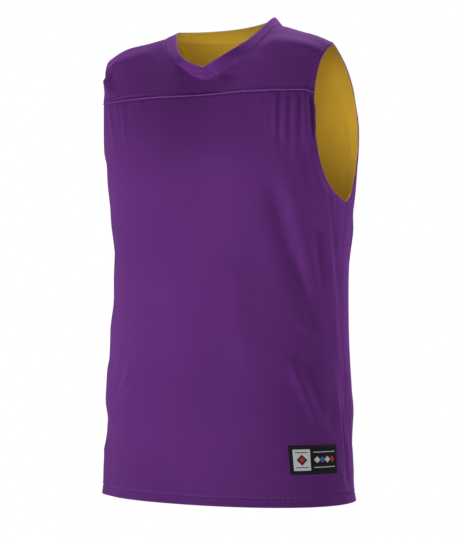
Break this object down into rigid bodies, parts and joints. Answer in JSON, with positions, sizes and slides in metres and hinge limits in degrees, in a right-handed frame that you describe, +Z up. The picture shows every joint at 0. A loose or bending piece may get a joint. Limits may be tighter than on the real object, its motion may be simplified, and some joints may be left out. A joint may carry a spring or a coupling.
{
  "type": "sleeveless basketball jersey",
  "caption": "Reversible sleeveless basketball jersey with a lapped V neck, front yoke and contrast lining, filled out as if worn.",
  "frame": {"origin": "midway between the two shoulder seams, at the height where the shoulders carry the jersey", "axes": "+Z up towards the collar, +X towards the wearer's left, +Y towards the back"},
  "size_m": [0.4078, 0.254, 0.7385],
  "materials": {
    "purple_cloth": "smooth knitted polyester with a soft satin sheen",
    "gold_lining": "smooth knitted polyester, slightly matt",
    "woven_label": "tight woven label, matt"
  },
  "bodies": {
    "root": {"front_panel": "purple_cloth", "front_yoke": "purple_cloth", "back_panel": "purple_cloth", "neck_band": "purple_cloth", "lining_front": "gold_lining", "lining_back": "gold_lining", "lining_neck_band": "gold_lining", "hem_label": "woven_label"}
  },
  "joints": []
}
